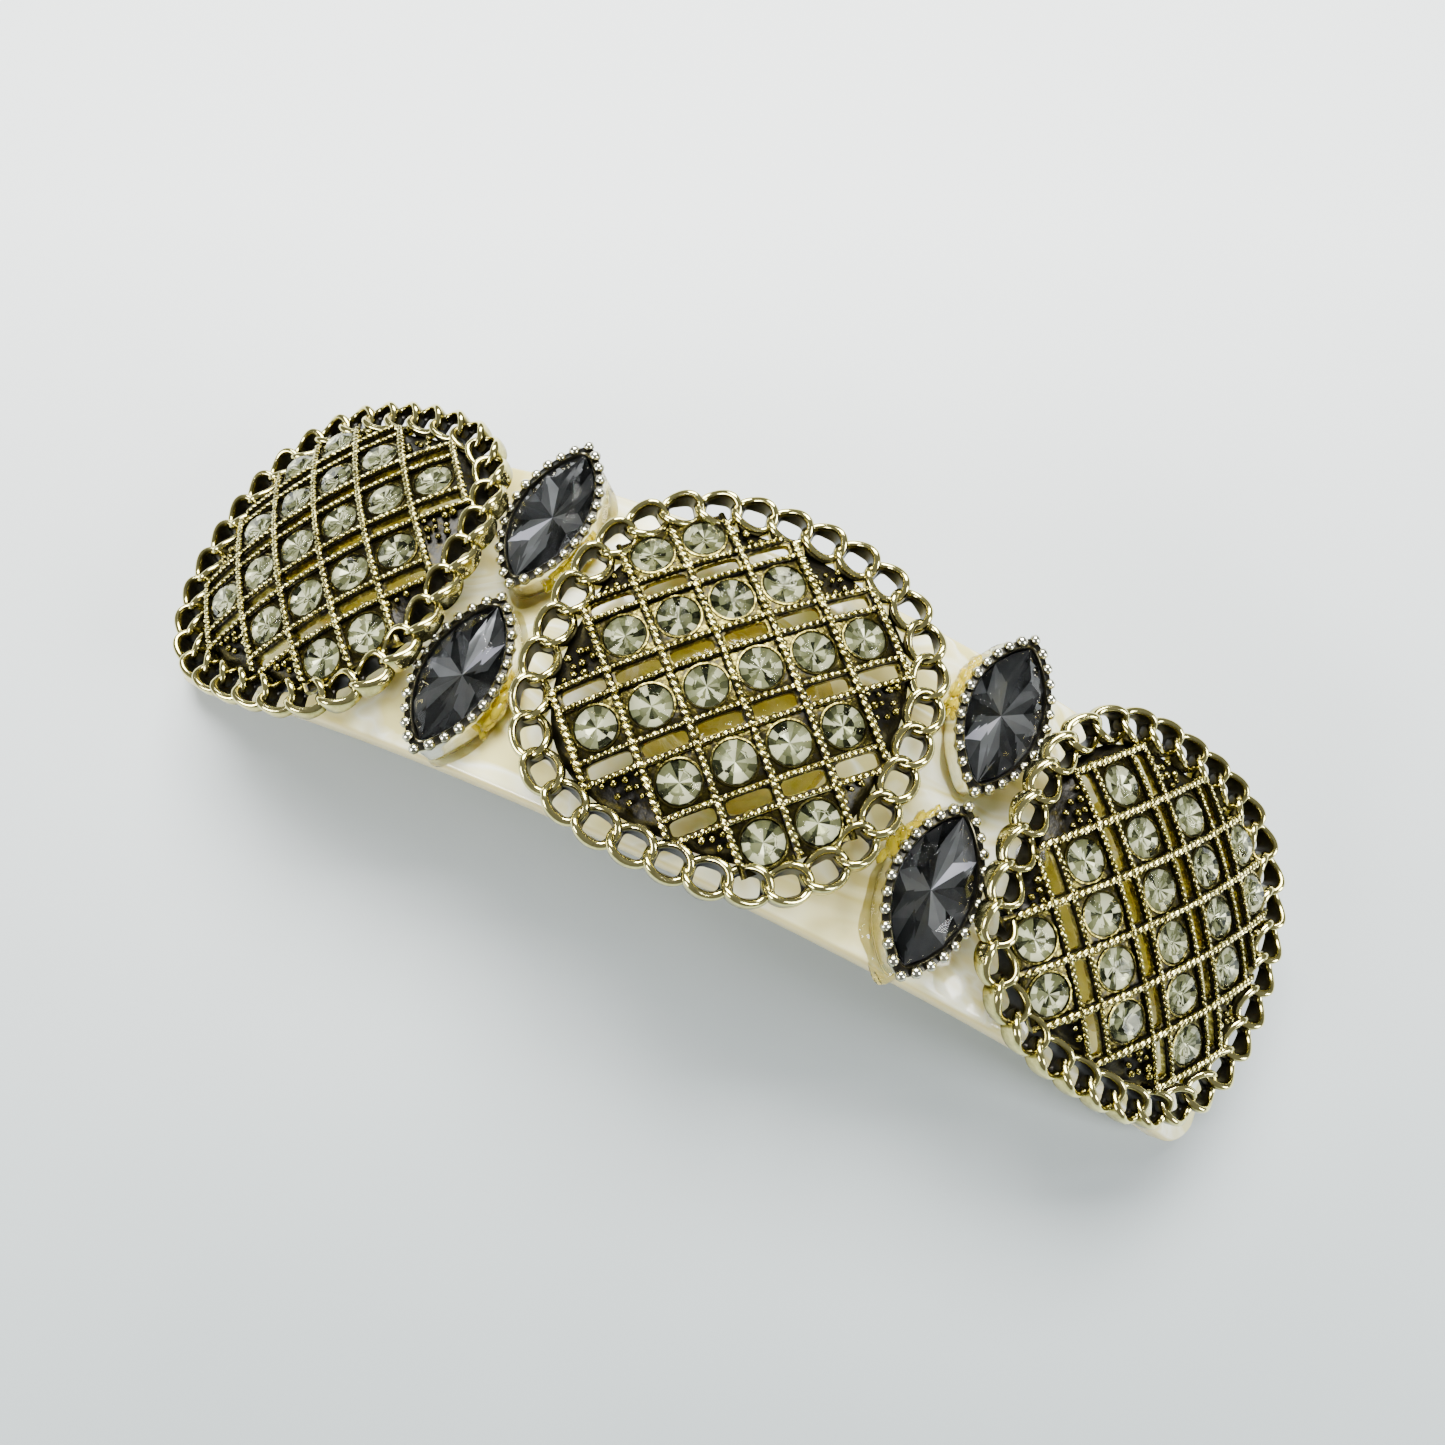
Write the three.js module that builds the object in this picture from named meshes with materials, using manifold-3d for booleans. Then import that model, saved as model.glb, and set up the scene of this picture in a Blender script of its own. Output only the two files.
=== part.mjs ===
// Large arched hair clip: a cellulose acetate plate carrying three openwork domes and four
// marquise stones in bezels, on a sprung steel clasp whose arm swings down from one end.
//
// Frame: millimetres, X along the clip, Y across it, Z up. The clip stands on the two small
// flats under the plate's ends, and the origin is on that plane below the middle of the clip.
// Inside the `clip` group the origin is the axis of the plate's arch, which runs along Y.

import * as THREE from 'three';
import { mergeVertices } from 'three/addons/utils/BufferGeometryUtils.js';
import Module from 'manifold-3d';

const wasm = await Module();
wasm.setup();

// ---- driving dimensions (mm, degrees) ----

const GAP = 0.3; // between pieces that rest on each other
const SEAM = 0.1; // between adhesive and what it holds

const plate = { radius: 86, thickness: 2.9, width: 31.6, endAngle: 43.4, corner: 4.5, footLift: 0.5 };
const dome = {
  spacing: 28.0, // angle between neighbouring domes
  height: 7.0, // crown above the plate
  radius: 56, // of the domed face
  halfWidth: 18.1,
  borderWidth: 3.7,
  borderRise: 0.5, // border above the lattice
  borderDepth: 1.6,
  borderOverlap: 0.4, // how far the lattice runs in under the border
  lattice: 1.6, // thickness of the lattice
  squareness: 2.7, // exponent of the rounded-square outline
  turn: [45, 45, -45], // lattice direction of each dome
};
const grid = { pitch: 4.94, rowPitch: 6.96, slotWidth: 1.9, slotLength: 4.2 };
const seat = { radius: 1.95, depth: 1.1, sides: 6 };
const chain = { links: 32, hole: 1.75 };
const bezel = {
  angle: 14.9,
  y: { front: -7.9, back: 9.7 },
  length: 16.9,
  width: 8.8,
  height: 2.9,
  tipWall: 1.2,
  sideWall: 0.7,
  floor: 0.7,
};
const stone = { tipGap: 0.6, crown: 1.2, pavilion: 1.7, tableScale: 0.6 };
const glue = { domeRadius: 6.5, domeSpread: 1.3, bezelScale: 0.85, bezelThickness: 0.6 };

const bar = { width: 9, thickness: 0.8, endAngle: 28.5 };
const rivet = { angle: 21, shank: 1.0, head: 1.9, headHeight: 0.5 };
const hinge = {
  x: -41,
  z: 67.3,
  pin: 0.8, // radius
  pinLength: 10,
  clearance: 0.05,
  eye: 1.7,
  ear: 1.9,
  earThickness: 0.8,
  seatEnd: 24, // degrees
  earRoot: 26.3, // degrees
};
const arm = { radius: 120, thickness: 0.8, width: 6.8, endX: 41 };
const spring = { radius: 94, thickness: 0.4, width: 5, endX: 31.5, endZ: 74.8 };
const latch = { x: 37.2, windowLength: 3.6, windowWidth: 4.2, length: 3.0, bracket: 0.6 };
const tab = { inner: 1.2, thickness: 0.6, top: 2.2, tip: -1.7, barb: 2.4, outer: 5.6, earEnd: -1.0 };

const radians = THREE.MathUtils.degToRad;
const plateInner = plate.radius - plate.thickness;
const barOuter = plateInner - GAP;
const barInner = barOuter - bar.thickness;
const domeCrown = plate.radius + dome.height;
const restHeight = plateInner * Math.cos(radians(plate.endAngle)) + plate.footLift;

// ---- from three.js geometry to a solid and back ----

function solid(geometry) {
  const bare = geometry.index ? geometry.clone() : geometry;
  bare.deleteAttribute('normal');
  bare.deleteAttribute('uv');
  const merged = mergeVertices(bare, 1e-4);
  const mesh = new wasm.Mesh({
    numProp: 3,
    vertProperties: new Float32Array(merged.attributes.position.array),
    triVerts: new Uint32Array(merged.index.array),
  });
  return new wasm.Manifold(mesh);
}

function geometryOf(body) {
  const mesh = body.getMesh();
  const geometry = new THREE.BufferGeometry();
  geometry.setAttribute('position', new THREE.BufferAttribute(mesh.vertProperties, 3));
  geometry.setIndex(new THREE.BufferAttribute(mesh.triVerts, 1));
  geometry.computeVertexNormals();
  return geometry;
}

// ---- basic forms ----

// A flat outline with its second axis stood up along Z, and its thickness centred on Y.
function upright(outline, width, curveSegments = 24) {
  const geometry = new THREE.ExtrudeGeometry(outline, { depth: width, bevelEnabled: false, curveSegments });
  return geometry.translate(0, 0, -width / 2).rotateX(Math.PI / 2);
}

// A flat outline lying in XY and rising along Z from `bottom` to `top`.
function flat(outline, bottom, top, curveSegments = 12) {
  const geometry = new THREE.ExtrudeGeometry(outline, {
    depth: top - bottom,
    bevelEnabled: false,
    curveSegments,
  });
  return geometry.translate(0, 0, bottom);
}

function block(x, y, z, cx = 0, cy = 0, cz = 0) {
  return new THREE.BoxGeometry(x, y, z).translate(cx, cy, cz);
}

// A round bar along Y.
function crossBar(radius, length, segments = 16) {
  return new THREE.CylinderGeometry(radius, radius, length, segments);
}

// Side view of a strip bent to an arc about (0, centreZ), between two angles from straight up.
function arcOutline(inner, outer, from, to, centreZ = 0) {
  const start = Math.PI / 2 - from;
  const end = Math.PI / 2 - to;
  const outline = new THREE.Shape();
  outline.absarc(0, centreZ, outer, start, end, true);
  outline.absarc(0, centreZ, inner, end, start, false);
  return outline;
}

function arcStrip(inner, outer, halfAngle, width, segments, centreZ = 0) {
  return upright(arcOutline(inner, outer, -halfAngle, halfAngle, centreZ), width, segments);
}

// Rounded square |x|^n + |y|^n = half^n.
function roundedSquare(half, points) {
  const power = 2 / dome.squareness;
  const corner = (index) => {
    const angle = (2 * Math.PI * index) / points;
    const c = Math.cos(angle);
    const s = Math.sin(angle);
    return new THREE.Vector2(
      half * Math.sign(c) * Math.abs(c) ** power,
      half * Math.sign(s) * Math.abs(s) ** power,
    );
  };
  return new THREE.Shape(Array.from({ length: points }, (_, index) => corner(index)));
}

// Pointed oval with its long axis along Y, made of two arcs.
function marquise(length, width) {
  const a = length / 2;
  const b = width / 2;
  const radius = (a * a + b * b) / (2 * b);
  const half = Math.asin(a / radius);
  const outline = new THREE.Shape();
  outline.absarc(b - radius, 0, radius, -half, half, false);
  outline.absarc(radius - b, 0, radius, Math.PI - half, Math.PI + half, false);
  return outline;
}

// ---- acetate plate ----

// What rounding one corner takes away, as seen from above the plate's end.
function cornerWaste(endSign, edgeSign) {
  const reach = plate.corner;
  const deep = 4 * plate.thickness;
  const halfWidth = plate.width / 2;
  const square = block(reach + 1, reach + 1, deep, (reach + 1) / 2, (reach + 1) / 2, 0);
  const round = new THREE.CylinderGeometry(reach, reach, 2 * deep, 28).rotateX(Math.PI / 2);
  const waste = geometryOf(solid(square).subtract(solid(round)));
  waste.rotateZ([0, Math.PI / 2, Math.PI, -Math.PI / 2][cornerQuarter(endSign, edgeSign)]);
  waste.translate(0, edgeSign * (halfWidth - reach), plateInner);
  return waste.rotateY(endSign * (radians(plate.endAngle) - reach / plate.radius));
}

function cornerQuarter(endSign, edgeSign) {
  if (endSign > 0) {
    return edgeSign > 0 ? 0 : 3;
  }
  return edgeSign > 0 ? 1 : 2;
}

function acetatePlate() {
  let body = solid(arcStrip(plateInner, plate.radius, radians(plate.endAngle), plate.width, 22));
  const below = block(2 * plate.radius, plate.width + 1, 2 * plate.radius, 0, 0, restHeight - plate.radius);
  body = body.subtract(solid(below));
  for (const endSign of [-1, 1]) {
    for (const edgeSign of [-1, 1]) {
      body = body.subtract(solid(cornerWaste(endSign, edgeSign)));
    }
    body = body.subtract(solid(rivetHole().rotateY(endSign * radians(rivet.angle))));
  }
  return geometryOf(body);
}

function rivetHole() {
  const length = 3 * plate.thickness;
  const hole = new THREE.CylinderGeometry(rivet.shank + GAP, rivet.shank + GAP, length, 12);
  return hole.rotateX(Math.PI / 2).translate(0, 0, plateInner);
}

// ---- openwork domes, each built around its own crown at (0, 0, 0) ----

function domeShell(top, thickness) {
  const reach = dome.halfWidth * 1.2;
  const rings = 3;
  const arc = (radius, index) => {
    const r = (reach * index) / rings;
    return new THREE.Vector2(r, Math.sqrt(radius * radius - r * r) - dome.radius);
  };
  const steps = Array.from({ length: rings + 1 }, (_, index) => index);
  const under = steps.map((index) => arc(dome.radius + top - thickness, index));
  const over = steps.map((index) => arc(dome.radius + top, index)).reverse();
  return new THREE.LatheGeometry([...under, ...over], 20).rotateX(Math.PI / 2);
}

// Grid cells as [column, row], counted in pitches from the crown.
function stoneCells() {
  const columns = [[0.5, 2], [1.5, 1], [2.5, 0]];
  return columns.flatMap(([column, rows]) =>
    [-column, column].flatMap((c) =>
      Array.from({ length: 2 * rows + 1 }, (_, index) => [c, index - rows]),
    ),
  );
}

function slotCells() {
  const rows = [[0.5, 2.5], [1.5, 1.5]];
  return rows.flatMap(([row, last]) =>
    [-row, row].flatMap((r) =>
      Array.from({ length: 2 * last + 1 }, (_, index) => [index - last, r]),
    ),
  );
}

function domeCasting(turn) {
  const innerHalf = dome.halfWidth - dome.borderWidth;
  const deep = 20;
  const inside = solid(flat(roundedSquare(innerHalf + dome.borderOverlap, 32), -deep, deep));
  const outside = solid(flat(roundedSquare(dome.halfWidth, 48), -deep, deep));
  const hollow = solid(flat(roundedSquare(innerHalf, 32), -deep, deep));
  const lattice = solid(domeShell(0, dome.lattice)).intersect(inside);
  const border = solid(domeShell(dome.borderRise, dome.borderDepth)).intersect(outside.subtract(hollow));
  let body = lattice.add(border);
  const cuts = [];
  for (const [column, row] of slotCells()) {
    const slot = block(grid.slotLength, grid.slotWidth, deep, column * grid.pitch, row * grid.rowPitch);
    cuts.push(slot.rotateZ(radians(turn)));
  }
  for (const [column, row] of stoneCells()) {
    const x = column * grid.pitch;
    const y = row * grid.rowPitch;
    const sag = (x * x + y * y) / (2 * dome.radius);
    const pocket = new THREE.CylinderGeometry(seat.radius, seat.radius, 2 * seat.depth, seat.sides);
    cuts.push(pocket.rotateX(Math.PI / 2).translate(x, y, -sag).rotateZ(radians(turn)));
  }
  const power = 2 / dome.squareness;
  const middle = dome.halfWidth - dome.borderWidth / 2;
  for (let link = 0; link < chain.links; link += 1) {
    const angle = (2 * Math.PI * link) / chain.links;
    const c = Math.cos(angle);
    const s = Math.sin(angle);
    const x = middle * Math.sign(c) * Math.abs(c) ** power;
    const y = middle * Math.sign(s) * Math.abs(s) ** power;
    const hole = block(chain.hole, chain.hole, deep).rotateZ(Math.atan2(y, x));
    cuts.push(hole.translate(x, y, 0));
  }
  for (const cut of cuts) {
    body = body.subtract(solid(cut));
  }
  return geometryOf(body);
}

// Everything below the adhesive, just clear of the plate's upper face.
function plateGround() {
  return solid(crossBar(plate.radius + SEAM, 2 * plate.width, 96));
}

// Adhesive mound between the plate and the underside of a dome.
function domeGlue() {
  const reach = 2 * dome.height;
  const mound = new THREE.CylinderGeometry(glue.domeRadius, glue.domeRadius * glue.domeSpread, reach, 16);
  mound.rotateX(Math.PI / 2).translate(0, 0, domeCrown - dome.lattice - GAP);
  const ceiling = new THREE.SphereGeometry(dome.radius - dome.lattice - GAP, 48, 48);
  ceiling.translate(0, 0, domeCrown - dome.radius);
  return geometryOf(solid(mound).intersect(solid(ceiling)).subtract(plateGround()));
}

// ---- marquise bezels and stones, each built with the plate's surface at z = 0 ----

const well = { length: bezel.length - 2 * bezel.tipWall, width: bezel.width - 2 * bezel.sideWall };
const bezelRim = glue.bezelThickness + bezel.height;

function bezelCup() {
  const cup = solid(flat(marquise(bezel.length, bezel.width), glue.bezelThickness, bezelRim, 6));
  const floor = glue.bezelThickness + bezel.floor;
  return geometryOf(cup.subtract(solid(flat(marquise(well.length, well.width), floor, bezelRim + 1, 6))));
}

function marquiseStone() {
  const outline = marquise(well.length - 2 * stone.tipGap, well.width - 2 * GAP);
  const ring = outline.getPoints(5).slice(0, -1);
  const corners = ring.filter((point, index) => index === 0 || point.distanceTo(ring[index - 1]) > 0.01);
  const count = corners.length;
  const tableHeight = bezelRim + stone.crown;
  const table = corners.map((p) => [p.x * stone.tableScale, p.y * stone.tableScale, tableHeight]);
  const rim = corners.map((p) => [p.x, p.y, bezelRim]);
  const tip = [0, 0, bezelRim - stone.pavilion];
  const crown = [0, 0, tableHeight];
  const geometry = new THREE.BufferGeometry();
  const vertices = [...rim, ...table, tip, crown].flat();
  geometry.setAttribute('position', new THREE.Float32BufferAttribute(vertices, 3));
  const faces = [];
  for (let index = 0; index < count; index += 1) {
    const next = (index + 1) % count;
    faces.push(index, next, count + next);
    faces.push(index, count + next, count + index);
    faces.push(next, index, 2 * count);
    faces.push(count + index, count + next, 2 * count + 1);
  }
  geometry.setIndex(faces);
  geometry.computeVertexNormals();
  return geometry;
}

function bezelGlue() {
  const scale = glue.bezelScale;
  const outline = marquise(bezel.length * scale, bezel.width * scale);
  const pad = solid(flat(outline, -plate.thickness, glue.bezelThickness - SEAM, 6));
  return geometryOf(pad.subtract(plateGround().translate([0, 0, -plate.radius])));
}

// ---- steel clasp ----

function backBar() {
  let body = solid(arcStrip(barInner, barOuter, radians(bar.endAngle), bar.width, 20));
  for (const side of [-1, 1]) {
    body = body.subtract(solid(rivetHole().rotateY(side * radians(rivet.angle))));
  }
  return geometryOf(body);
}

// A rivet whose axis is Z, holding the bar against the plate.
function rivetBody() {
  const low = barInner - GAP;
  const high = plate.radius + GAP;
  const profile = [
    [0, low - rivet.headHeight],
    [rivet.head * 0.7, low - rivet.headHeight],
    [rivet.head, low - rivet.headHeight * 0.3],
    [rivet.head, low],
    [rivet.shank, low],
    [rivet.shank, high],
    [rivet.head, high],
    [rivet.head, high + rivet.headHeight * 0.3],
    [rivet.head * 0.7, high + rivet.headHeight],
    [0, high + rivet.headHeight],
  ];
  const points = profile.map(([r, z]) => new THREE.Vector2(r, z));
  return new THREE.LatheGeometry(points, 12).rotateX(Math.PI / 2);
}

// Side view of a link with round ends from (x0, z0) to (x1, z1).
function capsule(x0, z0, x1, z1, radius) {
  const angle = Math.atan2(z1 - z0, x1 - x0);
  const outline = new THREE.Shape();
  outline.absarc(x1, z1, radius, angle - Math.PI / 2, angle + Math.PI / 2, false);
  outline.absarc(x0, z0, radius, angle + Math.PI / 2, angle + (3 * Math.PI) / 2, false);
  return outline;
}

function hingeBracket() {
  const outer = barInner - GAP;
  const thickness = hinge.earThickness;
  const seatStrip = arcOutline(outer - thickness, outer, radians(-bar.endAngle), radians(-hinge.seatEnd));
  let body = solid(upright(seatStrip, bar.width, 3));
  const rootAngle = radians(-hinge.earRoot);
  const rootRadius = outer - hinge.ear;
  const rootX = rootRadius * Math.sin(rootAngle);
  const rootZ = rootRadius * Math.cos(rootAngle);
  for (const side of [-1, 1]) {
    const ear = upright(capsule(hinge.x, hinge.z, rootX, rootZ, hinge.ear), thickness, 6);
    ear.translate(0, side * (bar.width / 2 - thickness / 2), 0);
    body = body.add(solid(ear));
  }
  const hole = crossBar(hinge.pin + hinge.clearance, 2 * bar.width).translate(hinge.x, 0, hinge.z);
  return geometryOf(body.subtract(solid(hole)));
}

function hingePin() {
  return crossBar(hinge.pin, hinge.pinLength).translate(hinge.x, 0, hinge.z);
}

const armCentreZ = hinge.z - Math.sqrt(arm.radius ** 2 - hinge.x ** 2);

function armAngle(x) {
  return Math.asin(x / arm.radius);
}

function claspArm() {
  const half = arm.thickness / 2;
  const from = armAngle(hinge.x);
  const to = armAngle(arm.endX);
  const outline = arcOutline(arm.radius - half, arm.radius + half, from, to, armCentreZ);
  let body = solid(upright(outline, arm.width, 20));
  body = body.add(solid(crossBar(hinge.eye, arm.width).translate(hinge.x, 0, hinge.z)));
  const bore = crossBar(hinge.pin + hinge.clearance, 2 * arm.width).translate(hinge.x, 0, hinge.z);
  body = body.subtract(solid(bore));
  const window = block(latch.windowLength, latch.windowWidth, 6, 0, 0, arm.radius);
  window.rotateY(armAngle(latch.x)).translate(0, 0, armCentreZ);
  return geometryOf(body.subtract(solid(window)));
}

function tensionSpring() {
  const halfAngle = Math.asin(spring.endX / spring.radius);
  const centreZ = spring.endZ - Math.sqrt(spring.radius ** 2 - spring.endX ** 2);
  return arcStrip(spring.radius - spring.thickness, spring.radius, halfAngle, spring.width, 16, centreZ);
}

// ---- latch, built where the arm's mid-thickness is z = 0 and its length runs along X ----

function catchBracket() {
  const middle = tab.top + GAP + latch.bracket / 2;
  return block(latch.length + 1, bar.width, latch.bracket, 0, 0, middle);
}

// One pinch tab on the +Y side: a web, a barbed prong through the arm's window, and a finger ear.
function catchTab(side) {
  const t = tab.thickness;
  const ledge = -arm.thickness / 2 - GAP;
  const outline = new THREE.Shape();
  outline.moveTo(tab.inner, tab.top);
  outline.lineTo(tab.inner, tab.tip);
  outline.lineTo(tab.inner + t, tab.tip);
  outline.lineTo(tab.barb, ledge);
  outline.lineTo(tab.inner + t, ledge);
  outline.lineTo(tab.inner + t, tab.top - t);
  outline.lineTo(tab.outer - t, tab.top - t);
  outline.lineTo(tab.outer - t, tab.earEnd);
  outline.lineTo(tab.outer, tab.earEnd);
  outline.lineTo(tab.outer, tab.top);
  const geometry = new THREE.ExtrudeGeometry(outline, { depth: latch.length, bevelEnabled: false });
  geometry.translate(0, 0, -latch.length / 2);
  geometry.rotateX(Math.PI / 2).rotateZ(Math.PI / 2);
  return side === 1 ? geometry : geometry.rotateZ(Math.PI);
}

// ---- assembly ----

const clip = new THREE.Group();
clip.position.z = -restHeight;

const looks = {
  acetate: { color: 0xeae2c6, roughness: 0.2, metalness: 0 },
  gold: { color: 0xa8935a, roughness: 0.35, metalness: 1 },
  silver: { color: 0xb9b49c, roughness: 0.3, metalness: 1 },
  stone: { color: 0x4a5060, roughness: 0.05, metalness: 0 },
  glue: { color: 0xd9c98a, roughness: 0.2, metalness: 0 },
  steel: { color: 0xb8bcc2, roughness: 0.35, metalness: 1 },
  springSteel: { color: 0x9aa0a8, roughness: 0.3, metalness: 1 },
};

function place(name, geometry, look, parent = clip) {
  const mesh = new THREE.Mesh(geometry, new THREE.MeshStandardMaterial(looks[look]));
  mesh.name = name;
  parent.add(mesh);
  return mesh;
}

// A group turned about the arch's axis and lifted to a radius.
function station(angle, radius, centreZ = 0) {
  const turned = new THREE.Group();
  turned.rotation.y = angle;
  turned.position.z = centreZ;
  const lifted = new THREE.Group();
  lifted.position.z = radius;
  turned.add(lifted);
  clip.add(turned);
  return lifted;
}

place('acetate_plate', acetatePlate(), 'acetate');

['left', 'centre', 'right'].forEach((name, index) => {
  const angle = radians((index - 1) * dome.spacing);
  place(`dome_${name}`, domeCasting(dome.turn[index]), 'gold', station(angle, domeCrown));
  place(`dome_glue_${name}`, domeGlue(), 'glue', station(angle, 0));
});

for (const [end, endSign] of [['left', -1], ['right', 1]]) {
  for (const edge of ['front', 'back']) {
    const spot = station(endSign * radians(bezel.angle), plate.radius);
    spot.position.y = bezel.y[edge];
    place(`bezel_${end}_${edge}`, bezelCup(), 'silver', spot);
    place(`marquise_${end}_${edge}`, marquiseStone(), 'stone', spot);
    place(`bezel_glue_${end}_${edge}`, bezelGlue(), 'glue', spot);
  }
}

place('back_bar', backBar(), 'steel');
place('rivet_left', rivetBody(), 'steel').rotation.y = -radians(rivet.angle);
place('rivet_right', rivetBody(), 'steel').rotation.y = radians(rivet.angle);
place('hinge_bracket', hingeBracket(), 'steel');
place('hinge_pin', hingePin(), 'steel');
place('clasp_arm', claspArm(), 'steel');
place('tension_spring', tensionSpring(), 'springSteel');

const latchSpot = station(armAngle(latch.x), arm.radius, armCentreZ);
place('catch_bracket', catchBracket(), 'steel', latchSpot);
place('catch_tab_front', catchTab(-1), 'springSteel', latchSpot);
place('catch_tab_back', catchTab(1), 'springSteel', latchSpot);

export default clip;
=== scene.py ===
"""Looks for the arched hair clip: jewelled openwork domes and marquise stones on a pearly plate."""

import math
import random

import bmesh
import bpy
import numpy as np
from mathutils import Matrix, Vector


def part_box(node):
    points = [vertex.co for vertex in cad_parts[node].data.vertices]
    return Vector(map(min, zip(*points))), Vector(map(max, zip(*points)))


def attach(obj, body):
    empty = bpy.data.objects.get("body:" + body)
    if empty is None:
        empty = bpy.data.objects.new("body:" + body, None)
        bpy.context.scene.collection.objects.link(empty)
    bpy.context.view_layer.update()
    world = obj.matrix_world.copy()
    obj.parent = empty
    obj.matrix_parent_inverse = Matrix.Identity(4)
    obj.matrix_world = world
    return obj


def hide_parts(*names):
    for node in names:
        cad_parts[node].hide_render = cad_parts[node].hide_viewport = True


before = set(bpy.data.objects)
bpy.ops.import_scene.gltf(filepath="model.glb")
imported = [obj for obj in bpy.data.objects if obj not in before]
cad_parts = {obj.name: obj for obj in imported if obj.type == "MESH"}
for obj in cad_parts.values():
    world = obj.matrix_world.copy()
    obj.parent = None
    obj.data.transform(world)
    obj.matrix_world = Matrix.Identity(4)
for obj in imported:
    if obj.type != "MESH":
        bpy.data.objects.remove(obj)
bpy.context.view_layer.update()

# ---- sizes in millimetres, as in the CAD model ----

MM = 0.001
PLATE_RADIUS = 86.0
PLATE_THICKNESS = 2.9
PLATE_HALF_ANGLE = math.radians(43.4)
PLATE_CORNER = 4.5
PLATE_EDGE = 0.75
DOME_SPACING = math.radians(28.0)
DOME_RADIUS = 56.0
DOME_HALF = 18.1
SQUARENESS = 2.7
SIDES = ("left", "centre", "right")
LATTICE_TURNS = (45, 45, -45)  # degrees from the clip's length to the rows of stones
PITCH = 4.94
ROW_PITCH = 6.96
CHAIN_LINKS = 32
CHAIN_WIDTH = 3.7
BEZEL_ANGLE = math.radians(14.9)

PLATE_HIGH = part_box("acetate_plate")[1]
ARCH_Z = PLATE_HIGH.z / MM - PLATE_RADIUS
CROWN_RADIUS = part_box("dome_centre")[1].z / MM - ARCH_Z
PLATE_HALF_WIDTH = PLATE_HIGH.y / MM
LATTICE_HALF = DOME_HALF - CHAIN_WIDTH

# ---- gathering and making meshes ----


class Form:
    """Points, faces, material numbers and patina with painted shade of one piece, in mm.

    Patina with painted shade runs from 0 to 1: bright to blackened metal, where real patina in recesses mixes
    with painted shade in holes, at the feet of beads and under overlapping links; face to edge of acetate;
    thin to heaped adhesive.
    """

    def __init__(self):
        self.points = []
        self.patina_and_shade = []
        self.faces = []
        self.slots = []
        self.count = 0

    def add(self, points, faces, patina_and_shade=0.0, slot=0):
        points = np.asarray(points, float).reshape(-1, 3)
        self.points.append(points)
        self.patina_and_shade.append(np.broadcast_to(np.asarray(patina_and_shade, float), len(points)))
        self.faces += [tuple(index + self.count for index in face) for face in faces]
        self.slots += [slot] * len(faces)
        self.count += len(points)

    def bend(self, warp):
        """Moves all the points gathered so far."""
        self.points = [warp(points) for points in self.points]

    def make(self, name, materials, sharp):
        """Mesh whose edges are sharp above an angle in degrees, or whose faces are all flat at 0."""
        points = np.concatenate(self.points)
        mesh = bpy.data.meshes.new(name)
        mesh.from_pydata((points * MM).tolist(), [], self.faces)
        mesh.attributes.new("patina_and_shade", "FLOAT", "POINT").data.foreach_set(
            "value", np.concatenate(self.patina_and_shade).astype(np.float32)
        )
        for material in materials:
            mesh.materials.append(material)
        mesh.polygons.foreach_set("material_index", self.slots)
        work = bmesh.new()
        work.from_mesh(mesh)
        bmesh.ops.recalc_face_normals(work, faces=work.faces)
        work.to_mesh(mesh)
        work.free()
        mesh.polygons.foreach_set("use_smooth", [sharp != 0] * len(mesh.polygons))
        if sharp:
            mesh.set_sharp_from_angle(angle=math.radians(sharp))
        mesh.update()
        return mesh


def loft(form, loops, patina_and_shade=0.0, slot=0, closed=False):
    """Skin between loops of equal count; patina with painted shade is one value, or one for each loop or each
    point.
    """
    loops = [np.asarray(loop, float) for loop in loops]
    size = len(loops[0])
    values = np.asarray(patina_and_shade, float)
    if values.ndim < 2:
        values = np.repeat(np.broadcast_to(values, len(loops)), size)
    faces = []
    last = len(loops) if closed else len(loops) - 1
    for row in range(last):
        above = (row + 1) % len(loops)
        for i in range(size):
            j = (i + 1) % size
            faces.append((row * size + i, row * size + j, above * size + j, above * size + i))
    if not closed:
        faces.append(tuple(range(size))[::-1])
        faces.append(tuple(range((len(loops) - 1) * size, len(loops) * size)))
    form.add(np.concatenate(loops), faces, values.ravel(), slot)


def ball(rings=5, around=8):
    """Unit ball as points and faces."""
    points = [(0, 0, -1)]
    for ring in range(1, rings):
        tilt = math.pi * ring / rings - math.pi / 2
        level = math.cos(tilt)
        for step in range(around):
            turn = math.tau * step / around
            points.append((level * math.cos(turn), level * math.sin(turn), math.sin(tilt)))
    points.append((0, 0, 1))
    top = len(points) - 1
    faces = []
    for step in range(around):
        after = (step + 1) % around
        faces.append((0, 1 + after, 1 + step))
        faces.append((top, top - around + step, top - around + after))
        for ring in range(rings - 2):
            low = 1 + ring * around
            faces.append((low + step, low + after, low + around + after, low + around + step))
    return np.array(points, float), faces


BALL_POINTS, BALL_FACES = ball()


def bead(form, centre, size, turn, bright, dark):
    """Bead of radii `size`, blackened towards its foot: on metal, patina with painted shade under the bead.
    """
    c, s = math.cos(turn), math.sin(turn)
    x, y, z = (BALL_POINTS * np.array(size)).T
    points = np.column_stack([c * x - s * y, s * x + c * y, z])
    # painted shade: darker towards the bead's foot
    patina_and_shade = np.interp(BALL_POINTS[:, 2], (-0.35, 0.6), (dark, bright))
    form.add(points + np.array(centre), BALL_FACES, patina_and_shade)


# ---- outlines ----


def distance_along(path):
    """Length of a path up to each of its points."""
    return np.concatenate([[0], np.cumsum(np.linalg.norm(np.diff(path, axis=0), axis=1))])


def level_loop(x, y, height):
    """Loop of points at one height."""
    return np.column_stack([x, y, np.full(len(x), height)])


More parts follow.
